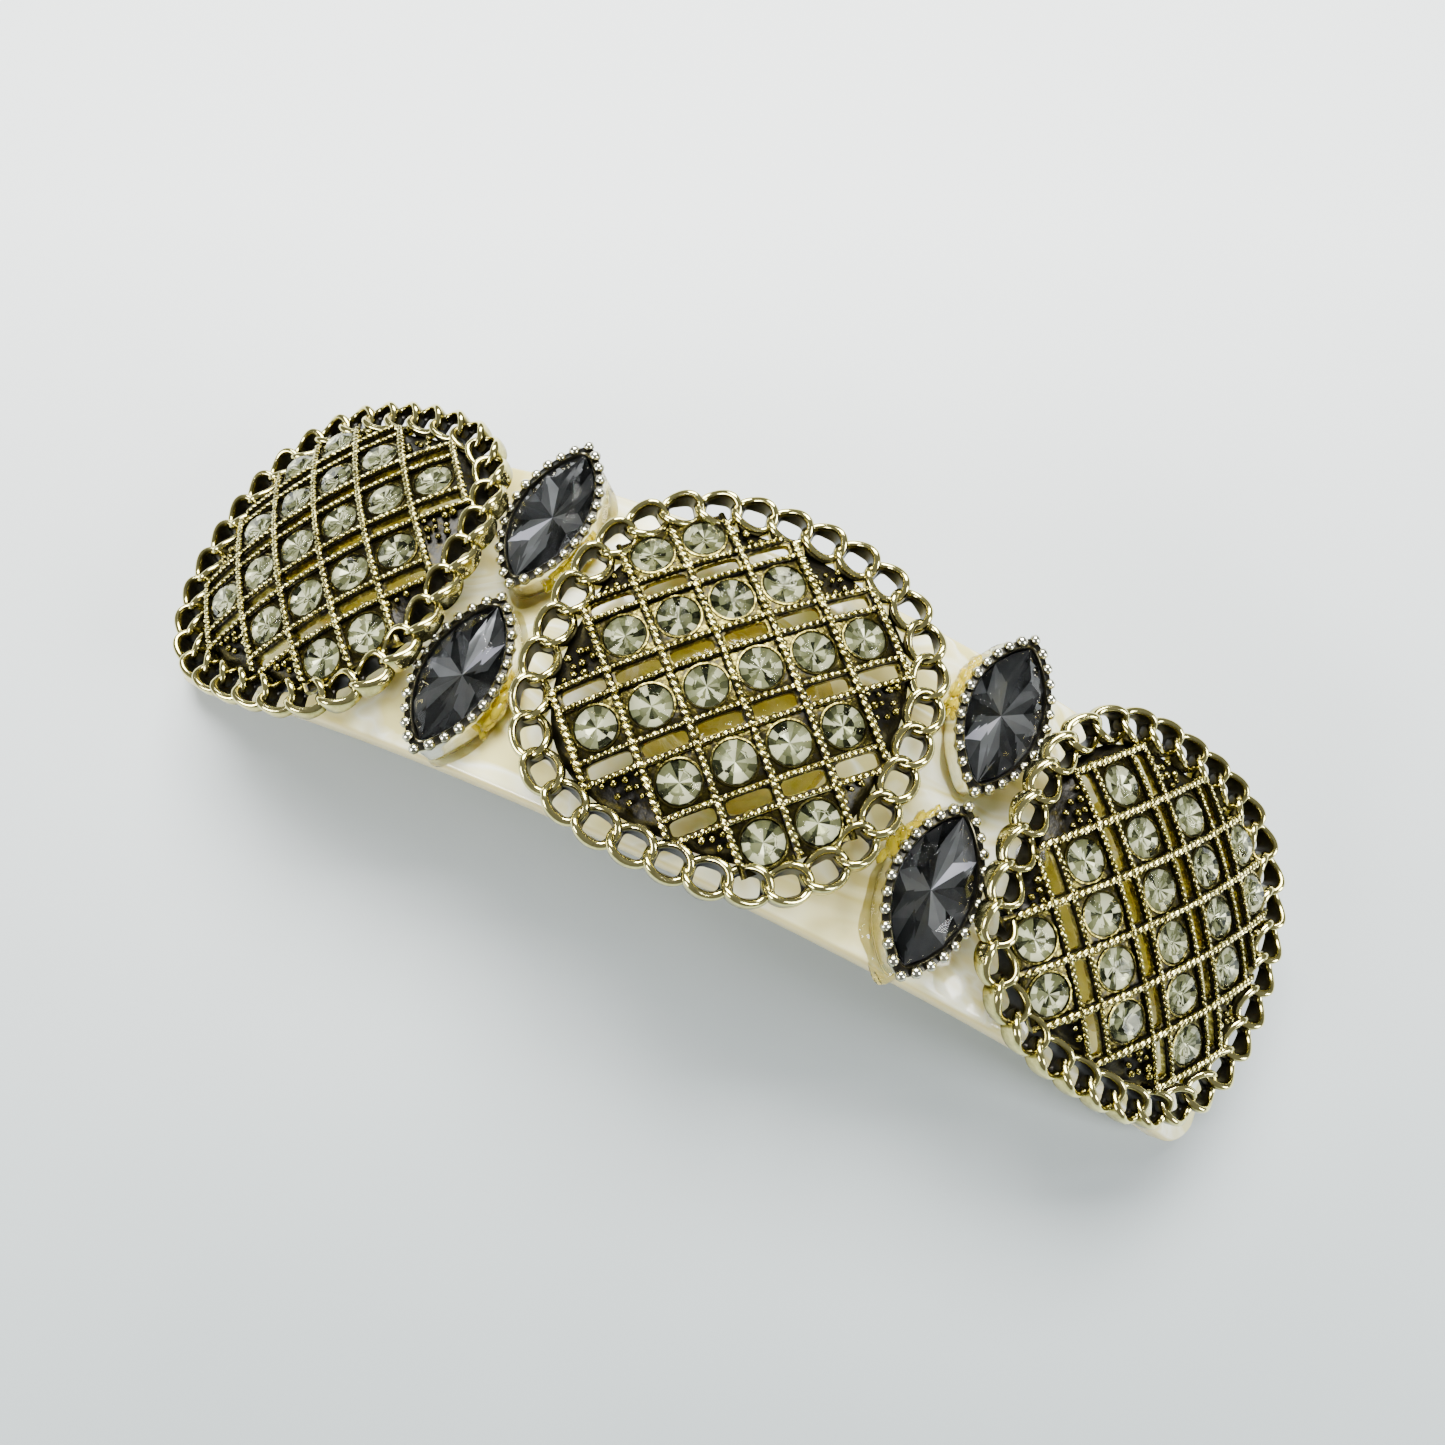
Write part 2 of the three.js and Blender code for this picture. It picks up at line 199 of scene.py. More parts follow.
def rounded_square_radius(angle, half):
    """Distance from the middle of a dome's outline to its edge."""
    power = abs(math.cos(angle)) ** SQUARENESS + abs(math.sin(angle)) ** SQUARENESS
    return half / power ** (1 / SQUARENESS)


def inside_dome(u, v, half):
    """Whether a place is within a dome's outline of that half width."""
    return abs(u) ** SQUARENESS + abs(v) ** SQUARENESS < half ** SQUARENESS


def marquise(length, width, height, count=72, tips=3):
    """Pointed oval with its long axis along Y, as a loop at one height, with slightly rounded tips."""
    a, b = length / 2, width / 2
    radius = (a * a + b * b) / (2 * b)
    half = math.asin(a / radius)
    side = np.linspace(-half, half, count // 2, endpoint=False)
    right = np.stack([b - radius + radius * np.cos(side), radius * np.sin(side)], 1)
    loop = np.concatenate([right, -right])
    for _ in range(tips):
        loop = (np.roll(loop, 1, 0) + 2 * loop + np.roll(loop, -1, 0)) / 4
    return level_loop(*loop.T, height)


def dome_height(place):
    """Height of the dome's surface over a (u, v) place, measured from the crown."""
    return math.sqrt(DOME_RADIUS ** 2 - place[0] ** 2 - place[1] ** 2) - DOME_RADIUS


def onto_dome(points):
    """Bends a flat (u, v, height) layout onto the dome, whose crown is at the origin."""
    lift = np.sqrt(DOME_RADIUS ** 2 - points[:, 0] ** 2 - points[:, 1] ** 2)
    normal = np.column_stack([points[:, 0], points[:, 1], lift]) / DOME_RADIUS
    foot = np.column_stack([points[:, 0], points[:, 1], lift - DOME_RADIUS])
    return foot + normal * points[:, 2:3]


def on_arch(angle, radius, y=0.0):
    """Matrix of a spot on the arch, in metres: local Z points away from the arch's axis."""
    lift = Matrix.Translation((0, y * MM, radius * MM))
    return Matrix.Translation((0, 0, ARCH_Z * MM)) @ Matrix.Rotation(angle, 4, "Y") @ lift


# ---- materials ----


def new_material(name):
    material = bpy.data.materials.new(name)
    material.use_nodes = True
    tree = material.node_tree
    shader = tree.nodes["Principled BSDF"]
    return material, tree, shader


def node(tree, kind, **settings):
    """New node; each setting is the value of an input or of a property."""
    made = tree.nodes.new(kind)
    for key, value in settings.items():
        if key in made.inputs:
            made.inputs[key].default_value = value
        else:
            setattr(made, key, value)
    return made


def grey(value):
    return (value, value, value)


def kept_on_mesh(tree, name):
    """Value that the mesh keeps for each point or face."""
    return node(tree, "ShaderNodeAttribute", attribute_name=name).outputs["Fac"]


def ramp(tree, source, stops, socket):
    """Sets a socket from a value, through stops of a place and a colour."""
    made = tree.nodes.new("ShaderNodeValToRGB")
    elements = made.color_ramp.elements
    while len(elements) < len(stops):
        elements.new(0.5)
    for element, (place, colour) in zip(elements, stops):
        element.position = place
        element.color = (*colour, 1)
    tree.links.new(source, made.inputs["Fac"])
    tree.links.new(made.outputs["Color"], socket)


def noise(tree, scale, detail=4.0, roughness=0.55):
    coordinates = node(tree, "ShaderNodeTexCoord")
    made = node(tree, "ShaderNodeTexNoise", Scale=scale, Detail=detail, Roughness=roughness)
    tree.links.new(coordinates.outputs["Object"], made.inputs["Vector"])
    return made.outputs["Fac"]


def unevenness(tree, amount, scale, detail=3.0, roughness=0.55):
    """Noise about zero, to be added to a value."""
    centred = maths(tree, "SUBTRACT", noise(tree, scale, detail, roughness), 0.5)
    return maths(tree, "MULTIPLY", centred, amount)


def maths(tree, operation, first, second, clamp=False):
    """Result of a maths node on sockets or numbers."""
    made = node(tree, "ShaderNodeMath", operation=operation, use_clamp=clamp)
    for socket, value in zip(made.inputs, (first, second)):
        if isinstance(value, (int, float)):
            socket.default_value = value
        else:
            tree.links.new(value, socket)
    return made.outputs["Value"]


def bump(tree, shader, height, strength, distance):
    made = node(tree, "ShaderNodeBump", Strength=strength, Distance=distance)
    tree.links.new(height, made.inputs["Height"])
    tree.links.new(made.outputs["Normal"], shader.inputs["Normal"])


def antique_metal(name, bright, middle, dark, black, mottling):
    """Plated casting whose recesses are blackened, by patina and painted shade, following the value kept on
    the mesh.
    """
    material, tree, shader = new_material(name)
    coarse = unevenness(tree, mottling, 900.0, 4.0, 0.6)
    fine = unevenness(tree, mottling, 2600.0, 3.0, 0.6)
    # patina with painted shade, made uneven by noise
    worn_and_shaded = maths(tree, "ADD", maths(tree, "ADD", kept_on_mesh(tree, "patina_and_shade"), coarse), fine, clamp=True)
    tones = ((0.0, bright), (0.3, middle), (0.65, dark), (0.92, black))
    ramp(tree, worn_and_shaded, tones, shader.inputs["Base Color"])
    ramp(tree, worn_and_shaded, ((0.0, grey(0.12)), (0.5, grey(0.22)), (1.0, grey(0.38))), shader.inputs["Roughness"])
    ramp(tree, worn_and_shaded, ((0.0, grey(1.0)), (0.6, grey(1.0)), (1.0, grey(0.6))), shader.inputs["Metallic"])
    bump(tree, shader, noise(tree, 1500.0), 0.5 * mottling, 0.00015)
    return material


def cut_glass(name, colour):
    """Cut glass with a faint unevenness of its colour, bright only through the painted reflections on the
    facets of its foil.
    """
    material, tree, shader = new_material(name)
    dim = tuple(0.93 * value for value in colour)
    ramp(tree, noise(tree, 350.0, 2.0), ((0.4, dim), (0.6, colour)), shader.inputs["Base Color"])
    shader.inputs["Roughness"].default_value = 0.0
    shader.inputs["Specular Tint"].default_value = (0, 0, 0, 1)
    shader.inputs["IOR"].default_value = 1.56
    shader.inputs["Transmission Weight"].default_value = 1.0
    return material


def foil(name, tones):
    """Metallised back of a cut stone; each facet gets a painted reflection, from dark to bright, kept on the
    mesh as "flash".
    """
    material, tree, shader = new_material(name)
    toned = maths(tree, "ADD", kept_on_mesh(tree, "flash"), unevenness(tree, 0.2, 500.0, 2.0), clamp=True)
    ramp(tree, toned, tones, shader.inputs["Base Color"])
    shader.inputs["Metallic"].default_value = 0.5
    shader.inputs["Roughness"].default_value = 0.25
    return material


def pearl_acetate():
    """Cream cellulose acetate with folded layers of pearl, slightly translucent and plainer at its edge."""
    material, tree, shader = new_material("pearl_acetate")
    coordinates = node(tree, "ShaderNodeTexCoord")
    stretched = node(tree, "ShaderNodeMapping", Scale=(45.0, 100.0, 100.0))
    tree.links.new(coordinates.outputs["Object"], stretched.inputs["Vector"])
    warp = node(tree, "ShaderNodeTexNoise", Scale=0.6, Detail=3.0, Roughness=0.5)
    tree.links.new(stretched.outputs["Vector"], warp.inputs["Vector"])
    shifted = node(tree, "ShaderNodeVectorMath", operation="MULTIPLY_ADD")
    tree.links.new(warp.outputs["Color"], shifted.inputs[0])
    shifted.inputs[1].default_value = (2.5, 2.5, 2.5)
    tree.links.new(stretched.outputs["Vector"], shifted.inputs[2])
    folds = node(tree, "ShaderNodeTexNoise", Scale=1.0, Detail=3.0, Roughness=0.5, Distortion=1.0)
    tree.links.new(shifted.outputs["Vector"], folds.inputs["Vector"])
    cream = (
        (0.38, (0.69, 0.60, 0.22)),
        (0.46, (0.86, 0.80, 0.42)),
        (0.53, (0.99, 0.98, 0.76)),
        (0.60, (0.76, 0.69, 0.29)),
    )
    mix = node(tree, "ShaderNodeMix", data_type="RGBA")
    tree.links.new(kept_on_mesh(tree, "patina_and_shade"), mix.inputs["Factor"])
    ramp(tree, folds.outputs["Fac"], cream, mix.inputs["A"])
    mix.inputs["B"].default_value = (0.67, 0.58, 0.26, 1)
    tree.links.new(mix.outputs["Result"], shader.inputs["Base Color"])
    shader.inputs["Roughness"].default_value = 0.12
    shader.inputs["IOR"].default_value = 1.49
    shader.inputs["Subsurface Weight"].default_value = 0.25
    shader.inputs["Subsurface Radius"].default_value = (0.0035, 0.0028, 0.0014)
    shader.inputs["Subsurface Scale"].default_value = 1.0
    bump(tree, shader, noise(tree, 160.0, 2.0), 0.03, 0.0002)
    return material


def adhesive():
    """Clear amber resin, golden and cloudier where the value kept on the mesh says that it is heaped up."""
    material, tree, shader = new_material("adhesive")
    thick = maths(tree, "ADD", kept_on_mesh(tree, "patina_and_shade"), unevenness(tree, 0.6, 400.0), clamp=True)
    tints = ((0.0, (0.99, 0.96, 0.74)), (0.45, (0.97, 0.85, 0.22)), (1.0, (0.82, 0.66, 0.015)))
    ramp(tree, thick, tints, shader.inputs["Base Color"])
    clearness = ((0.0, grey(1.0)), (0.5, grey(0.95)), (1.0, grey(0.65)))
    ramp(tree, thick, clearness, shader.inputs["Transmission Weight"])
    shader.inputs["Roughness"].default_value = 0.05
    shader.inputs["IOR"].default_value = 1.48
    bump(tree, shader, noise(tree, 900.0, 2.0), 0.6, 0.0005)
    return material


def plated_steel(name, colour, roughness):
    """Nickel-plated sheet with faint rolling lines along its length."""
    material, tree, shader = new_material(name)
    coordinates = node(tree, "ShaderNodeTexCoord")
    stretch = node(tree, "ShaderNodeMapping", Scale=(60.0, 2600.0, 900.0))
    tree.links.new(coordinates.outputs["Object"], stretch.inputs["Vector"])
    lines = node(tree, "ShaderNodeTexNoise", Scale=1.0, Detail=4.0, Roughness=0.6)
    tree.links.new(stretch.outputs["Vector"], lines.inputs["Vector"])
    dull = tuple(0.8 * value for value in colour)
    ramp(tree, lines.outputs["Fac"], ((0.35, dull), (0.65, colour)), shader.inputs["Base Color"])
    sheens = ((0.3, grey(roughness * 0.8)), (0.7, grey(roughness * 1.4)))
    ramp(tree, lines.outputs["Fac"], sheens, shader.inputs["Roughness"])
    shader.inputs["Metallic"].default_value = 1.0
    bump(tree, shader, lines.outputs["Fac"], 0.12, 0.00005)
    return material


# tones from bright metal to blackened recesses, patina with painted shade, and from dark to bright facets,
# painted reflections in the foil
GOLD_TONES = ((0.84, 0.77, 0.33), (0.22, 0.185, 0.038), (0.03, 0.024, 0.005), (0.004, 0.003, 0.001))
SILVER_TONES = ((0.96, 0.94, 0.80), (0.46, 0.43, 0.26), (0.04, 0.035, 0.02), (0.005, 0.005, 0.004))
CLEAR_FOIL_TONES = ((0.0, (0.015, 0.018, 0.010)), (0.5, (0.24, 0.25, 0.16)), (0.9, (1.0, 1.0, 0.88)))
SMOKE_FOIL_TONES = ((0.0, (0.008, 0.009, 0.009)), (0.5, (0.20, 0.205, 0.21)), (0.9, (0.80, 0.79, 0.92)))
CAST_GOLD = antique_metal("cast_gold", *GOLD_TONES, 1.0)
LINK_GOLD = antique_metal("link_gold", *GOLD_TONES, 0.25)
SILVER = antique_metal("antique_silver", *SILVER_TONES, 0.2)
CLEAR = cut_glass("clear_glass", (0.95, 0.97, 0.72))
CLEAR_FOIL = foil("clear_foil", CLEAR_FOIL_TONES)
SMOKE = cut_glass("smoky_glass", (0.76, 0.77, 0.78))
SMOKE_FOIL = foil("smoky_foil", SMOKE_FOIL_TONES)
ACETATE = pearl_acetate()
GLUE = adhesive()
STEEL = plated_steel("plated_steel", (0.72, 0.73, 0.74), 0.24)
SPRING_STEEL = plated_steel("spring_steel", (0.58, 0.59, 0.62), 0.2)


def piece(name, mesh, matrix, body="plate_assembly", replaces=()):
    """A shown piece, in place, riding on a CAD body."""
    made = bpy.data.objects.new(name, mesh)
    bpy.context.scene.collection.objects.link(made)
    made.matrix_world = matrix
    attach(made, body)
    if replaces:
        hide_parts(*replaces)


# ---- openwork domes: laid out flat, in the lattice's own (a, b) directions, then bent ----

CELL = 2.2  # half the side of the square plate round a stone
# heights, measured from the dome's surface
PLATE_TOP = -0.22
LATTICE_FLOOR = -0.95
LINE_TOP = 0.08
CHATON_GIRDLE = -0.12
BEADED_EDGE = CELL + 0.28  # from a row of stones to the beaded line beside it
# half length of each rope, by line from the middle
ROPE_ENDS = {0: 2 * ROW_PITCH + CELL, 1: 2 * ROW_PITCH + CELL, 2: 10.6, 3: 4.3}
ROWS_OF = {0.5: 2, 1.5: 1, 2.5: 0}  # farthest row of stones, by column
SLOTS_OF = {0.5: 2.5, 1.5: 1.5}  # farthest slot, by row of slots
AROUND = 32  # points round a seat or a slot
ROPE = {"pitch": 0.68, "size": (0.6, 0.27, 0.29), "twist": 0.6, "half": 0.27, "bright": 0.06}
BEADING = {"pitch": 0.62, "size": (0.44, 0.23, 0.25), "twist": 0.45, "half": 0.2, "bright": 0.14}
dice = random.Random(11)


def stone_spots():
    """(a, b) of the 18 stones: six columns of 1, 3, 5, 5, 3 and 1."""
    spots = []
    for column, rows in ROWS_OF.items():
        for side in (-1, 1):
            spots += [(side * column * PITCH, row * ROW_PITCH) for row in range(-rows, rows + 1)]
    return spots


def turned(points):
    """Lattice directions to the dome's own, an eighth of a turn."""
    c = math.cos(math.pi / 4)
    a, b, w = np.asarray(points, float).T
    return np.column_stack([c * (a - b), c * (a + b), w])


def lattice_line(form, start, end, style):
    """Beam between two (a, b) points with a row of beads along its top."""
    start, end = np.array(start, float), np.array(end, float)
    length = np.linalg.norm(end - start)
    along = (end - start) / length
    across = np.array([-along[1], along[0]])
    half = style["half"]
    section = ((-half, LATTICE_FLOOR), (half, LATTICE_FLOOR), (half, -0.1), (0.0, 0.06), (-half, -0.1))
    loops = []
    for share in np.linspace(0, 1, max(2, int(length / 1.5) + 1)):
        spot = start + along * length * share
        loops.append(turned([(*(spot + across * s), w) for s, w in section]))
    loft(form, loops, np.tile((0.1, 0.1, 0.9, 0.4, 0.9), (len(loops), 1)))
    count = max(2, round(length / style["pitch"]))
    heading = math.atan2(along[1], along[0]) + math.pi / 4 + style["twist"]
    for index in range(count + 1):
        spot = turned([(*(start + along * length * index / count), LINE_TOP)])[0]
        if inside_dome(spot[0], spot[1], LATTICE_HALF + 0.3):
            size = np.array(style["size"]) * dice.uniform(0.88, 1.12)
            bead(form, spot, size, heading + dice.uniform(-0.15, 0.15), style["bright"], 0.95)


def stone_cell(form, a, b):
    """Square plate with a rimmed round seat sunk into it."""
    angles = np.arange(AROUND) * math.tau / AROUND
    reach = 1 / np.maximum(np.abs(np.cos(angles)), np.abs(np.sin(angles)))
    # half side of the square, radius where it is round, height and patina, with painted shade darkest in the
    # seat under the stone
    profile = (
        (CELL, None, LATTICE_FLOOR, 0.1),
        (CELL, None, PLATE_TOP - 0.05, 0.9),
        (CELL - 0.18, None, PLATE_TOP, 0.6),
        (CELL, 2.16, PLATE_TOP, 0.72),
        (CELL, 2.1, -0.08, 0.38),
        (CELL, 1.96, -0.06, 0.5),
        (CELL, 1.88, -0.2, 0.9),
        (CELL, 1.8, LATTICE_FLOOR + 0.05, 1.0),
    )
    loops = []
    for half, radius, height, _ in profile:
        distance = half * reach if radius is None else np.minimum(radius, half * reach)
        loops.append(turned(level_loop(a + distance * np.cos(angles), b + distance * np.sin(angles), height)))
    loft(form, loops, [row[-1] for row in profile])


def slot_frame(form, a, b):
    """Thin web between the lines, pierced by a slot with rounded ends."""
    angles = (np.arange(AROUND) + 0.5) * math.tau / AROUND
    c, s = np.cos(angles), np.sin(angles)

    def box(long_half, short_half, height, power):
        size = (np.abs(c) ** power + np.abs(s) ** power) ** (1 / power)
        return turned(level_loop(a + long_half * c / size, b + short_half * s / size, height))

    outer, inner = (PITCH / 2, ROW_PITCH / 2 - CELL - 0.15), (1.98, 0.68)
    square, rounded = 12.0, 5.0
    loops = (
        box(*outer, -0.2, square),
        box(*inner, -0.3, rounded),
        box(*inner, LATTICE_FLOOR + 0.1, rounded),
        box(*outer, LATTICE_FLOOR, square),
    )
    loft(form, loops, (0.95, 0.6, 0.2, 0.1), closed=True)


def recess_floor(form):
    """Blackened ring between the stepped edge of the lattice and the chain."""
    blocks = ((PITCH, 2 * ROW_PITCH + 2.4), (2 * PITCH, 2 * ROW_PITCH - 2.3), (3 * PITCH, ROW_PITCH - 2.3))
    count = 160
    slope = ((0.0, -0.42), (0.3, -0.5), (0.75, -0.85), (1.0, -1.1))  # share of the way out, and height
    underside = -1.35
    inner, outer = [], []
    for index in range(count):
        angle = math.tau * index / count
        c, s = abs(math.cos(angle)) + 1e-9, abs(math.sin(angle)) + 1e-9
        out = rounded_square_radius(angle + math.pi / 4, LATTICE_HALF + 0.5)
        near = max(min(a / c, b / s) for a, b in blocks) - 0.2
        inner.append((min(near, out - 0.4), angle))
        outer.append(out)
    loops = []
    for share, height in slope:
        radii = [(near + (out - near) * share, angle) for (near, angle), out in zip(inner, outer)]
        loops.append([(r * math.cos(angle), r * math.sin(angle), height) for r, angle in radii])
    for loop, height in ((loops[-1], underside), (loops[0], LATTICE_FLOOR)):
        loops.append([(x, y, height) for x, y, _ in loop])
    loft(form, [turned(loop) for loop in loops], (0.75, 0.85, 1.0, 1.0, 0.1, 0.1), closed=True)


def granulation(form):
    """Scattered grains on the corner plates beside the outermost rows, twelve to a patch."""
    corners = ((1.36 * PITCH, 1.88 * ROW_PITCH), (2.44 * PITCH, 0.87 * ROW_PITCH))
    patch = [(0.95 * (step - 1.5), row) for row in (-1, 0, 1) for step in range(4)]
    stray = 0.22
    for side_a in (-1, 1):
        for side_b in (-1, 1):
            for a, b in corners:
                for shift_a, shift_b in patch:
                    x = side_a * (a + shift_a) + dice.uniform(-stray, stray)
                    y = side_b * (b + shift_b) + dice.uniform(-stray, stray)
                    spot = turned([(x, y, PLATE_TOP - 0.04)])[0]
                    size = dice.uniform(0.26, 0.46)
                    if inside_dome(spot[0], spot[1], LATTICE_HALF - 0.4):
                        bead(form, spot, (size, 0.9 * size, size), dice.uniform(0, 3), 0.3, 0.95)


def lattice(form):
    """Ropes between the columns of stones, beading beside the rows, and what fills the gaps."""

    def rope(line):
        end = ROPE_ENDS[abs(line)]
        lattice_line(form, (line * PITCH, -end), (line * PITCH, end), ROPE)

    # distance from the middle row, and half length in columns
    beaded = (
        (BEADED_EDGE, 3),
        (ROW_PITCH - BEADED_EDGE, 3),
        (ROW_PITCH + BEADED_EDGE, 2),
        (2 * ROW_PITCH - BEADED_EDGE, 1.8),
    )
    for line in (-1, 0, 1):
        rope(line)
    for side in (-1, 1):
        rope(2 * side)
        rope(3 * side)
        for b, reach in beaded:
            lattice_line(form, (-reach * PITCH, side * b), (reach * PITCH, side * b), BEADING)
    for a, b in stone_spots():
        stone_cell(form, a, b)
    for row, last in SLOTS_OF.items():
        for side in (-1, 1):
            for step in range(int(2 * last) + 1):
                slot_frame(form, (step - last) * PITCH, side * row * ROW_PITCH)
    recess_floor(form)
    granulation(form)


def chain_stations():
    """Centre, forward and outward directions of each link, evenly spaced along the border."""
    middle = DOME_HALF - CHAIN_WIDTH / 2
    fine = np.linspace(0, math.tau, 2881)
    radius = np.array([rounded_square_radius(angle, middle) for angle in fine])
    path = np.column_stack([radius * np.cos(fine), radius * np.sin(fine)])
    travelled = distance_along(path)

    def on_path(at):
        return np.array([np.interp(at, travelled, path[:, k]) for k in (0, 1)])

    stations = []
    for index in range(CHAIN_LINKS):
        at = travelled[-1] * (index + 0.5) / CHAIN_LINKS
        step = on_path(at - 0.5) - on_path(at + 0.5)
        forward = step / np.linalg.norm(step)
        stations.append((on_path(at), forward, np.array([-forward[1], forward[0]])))
    return stations


# half length and half width of a link's middle line, and of its hole at the foot
LINK = (1.87, 1.5)
HOLE = (1.1, 0.92)
LINK_STEPS = 36
LINK_GOLD_SLOT = 1
# patina with painted shade round the section, from the hole's foot up the outside, over the top and down into
# the hole, which is painted dark
BARE_LINK = (0.75, 0.3, 0.2, 0.15, 0.1, 0.0, 0.0, 0.0, 0.15, 0.65, 0.95, 1.0)
COVERED_LINK = (0.95, 0.95, 0.95, 0.8, 0.3, 0.0, 0.0, 0.0, 0.15, 0.65, 0.95, 1.0)


def rooted(value):
    """Square root that keeps its sign, which squares off a circle."""
    return math.copysign(math.sqrt(abs(value)), value)


def chain_link(form, centre, forward, outward):
    """Flattened curb link: an oval band, upright on the dome's axis, whose top edge rises and dips twice."""
    long_half, wide_half = LINK
    level = dome_height(centre)
    bare, covered = np.array(BARE_LINK), np.array(COVERED_LINK)
    loops, patina_and_shade = [], []
    for index in range(LINK_STEPS):
        angle = math.tau * index / LINK_STEPS
        c, s = math.cos(angle), math.sin(angle)
        slope = np.array([c / long_half, s / wide_half])
        side = slope / np.linalg.norm(slope)
        swing = math.sin(2 * angle)
        top = level + 0.52 + 0.42 * swing
        foot = level - 1.05 - 0.08 * swing
        outside = ((0.28, foot), (0.38, foot + 0.4), (0.39, top - 0.6), (0.36, top - 0.3), (0.25, top - 0.09))
        inside = ((0.08, top), (-0.1, top), (-0.25, top - 0.1), (-0.34, top - 0.32), (-0.36, top - 0.7))
        base = centre + forward * long_half * c + outward * wide_half * s
        across = forward * side[0] + outward * side[1]
        hole = centre + forward * HOLE[0] * rooted(c) + outward * HOLE[1] * rooted(s)
        band = [(*(base + across * shift), height) for shift, height in outside + inside]
        loops.append([(*hole, foot)] + band + [(*hole, foot + 0.3)])
        # walls under the next link are painted darker: patina with painted shade where the links overlap
        cover = np.interp(abs(c), (0.8, 0.95), (0, 1))
        patina_and_shade.append(bare + (covered - bare) * cover)
    loft(form, loops, patina_and_shade, LINK_GOLD_SLOT, closed=True)


def casting_mesh():
    """Whole openwork casting, crown at the origin."""
    form = Form()
    lattice(form)
    form.bend(onto_dome)
    for centre, forward, outward in chain_stations():
        chain_link(form, centre, forward, outward)
    return form.make("dome_casting", [CAST_GOLD, LINK_GOLD], sharp=50)


BACK_FACETS = 32


def brilliant(outline, table, crown, girdle, depth, kites):
    """Brilliant cut on a 16-point outline: points, crown and girdle faces, and a back of kites or rays."""
    outline = np.asarray(outline, float)[:, :2]

    def tier(indices, share, height):
        return [(*(outline[k] * share), height) for k in indices]

    even, odd = range(0, 16, 2), range(1, 16, 2)
    middle = (1 + table) / 2
    tilt = math.cos(math.pi / 8)
    points = tier(range(16), 1.0, -girdle) + tier(range(16), 1.0, 0.0)
    points += tier(odd, table, crown)
    points += tier(even, middle, crown * (1 - middle * tilt) / (1 - table))
    points += tier(range(16), 0.52, -girdle - 0.6 * depth)
    points.append((0, 0, -girdle - depth))
    top, star, low, tip = 32, 40, 48, 64
    front, back = [tuple(range(top, top + 8))], []
    for k in range(8):
        g, after = 2 * k, (k + 1) % 8
        right, far, left = g + 1, (g + 2) % 16, (g - 1) % 16
        front += [(16 + right, star + after, top + k), (16 + right, top + k, star + k)]
        front.append((star + k, top + k, top + (k - 1) % 8))
        front += [(star + k, 16 + g, 16 + right), (star + k, 16 + left, 16 + g)]
        front += [(g, right, 16 + right, 16 + g), (right, far, 16 + far, 16 + right)]
    for g in range(0, 16, 2):
        left, right = (g - 1) % 16, g + 1
        if kites:
            back += [(tip, low + left, g), (tip, g, low + right)]
            back += [(g, low + left, left), (g, right, low + right)]
        else:
            back += [(low + left, tip, low + g), (low + g, tip, low + right)]
            back += [(left, low + left, low + g, g), (g, low + g, low + right, right)]
    return points, front, back


def stone_mesh(name, cut, glass, foil_back, flashes):
    """Cut stone; each facet of its back takes a painted reflection from `flashes`."""
    form = Form()
    points, front, back = cut
    form.add(points, front)
    form.faces += back
    form.slots += [1] * len(back)
    mesh = form.make(name, [glass, foil_back], sharp=0)
    tones = [0.5] * len(front) + list(flashes)
    mesh.attributes.new("flash", "FLOAT", "FACE").data.foreach_set("value", tones)
    return mesh


CHATON_RADIUS = 1.85
CHATON_PATTERNS = 5
# painted reflections, from dark to bright, drawn at random for the facets of a chaton's back
CHATON_TONES = (0.0, 0.12, 0.3, 0.45, 0.55, 1.0, 1.0)


def chaton_mesh(seed):
    """Round foil-backed stone, girdle at z = 0."""
    tones = random.Random(seed)
    flashes = [tones.choice(CHATON_TONES) for _ in range(BACK_FACETS)]
    angles = np.arange(16) * math.tau / 16
    ring = np.column_stack([CHATON_RADIUS * np.cos(angles), CHATON_RADIUS * np.sin(angles)])
    cut = brilliant(ring, table=0.55, crown=0.62, girdle=0.1, depth=0.66, kites=False)
    return stone_mesh("chaton", cut, CLEAR, CLEAR_FOIL, flashes)


def dome_spot(a, b, height, turn):
    """Matrix of a spot on the dome, from the casting's own frame, with a turn about the normal."""
    u, v, _ = turned([(a, b, 0)])[0]
    normal = Vector((u, v, math.sqrt(DOME_RADIUS ** 2 - u * u - v * v))) / DOME_RADIUS
    place = Vector((u, v, (normal.z - 1) * DOME_RADIUS)) + normal * height
    aim = normal.to_track_quat("Z", "Y").to_matrix().to_4x4()
    return Matrix.Translation(place * MM) @ aim @ Matrix.Rotation(turn, 4, "Z")


def domes():
    casting = casting_mesh()
    chatons = [chaton_mesh(seed) for seed in range(CHATON_PATTERNS)]
    sway = 0.05
    for index, (side, turn) in enumerate(zip(SIDES, LATTICE_TURNS)):
        spot = on_arch((index - 1) * DOME_SPACING, CROWN_RADIUS)
        spot = spot @ Matrix.Rotation(math.radians(turn - 45), 4, "Z")
        piece(f"casting_{side}", casting, spot, replaces=(f"dome_{side}",))
        for number, (a, b) in enumerate(stone_spots(), 1):
            tilt = Matrix.Rotation(dice.uniform(-sway, sway), 4, "X")
            tilt = tilt @ Matrix.Rotation(dice.uniform(-sway, sway), 4, "Y")
            seat = dome_spot(a, b, CHATON_GIRDLE, dice.uniform(0, math.tau))
            chaton = chatons[number % CHATON_PATTERNS]
            piece(f"chaton_{side}_{number:02d}", chaton, spot @ seat @ tilt)


# ---- marquise stones in beaded bezels, built with the plate's surface at z = 0 ----

RIM_Z = 3.55
RIM_BEADS = 26


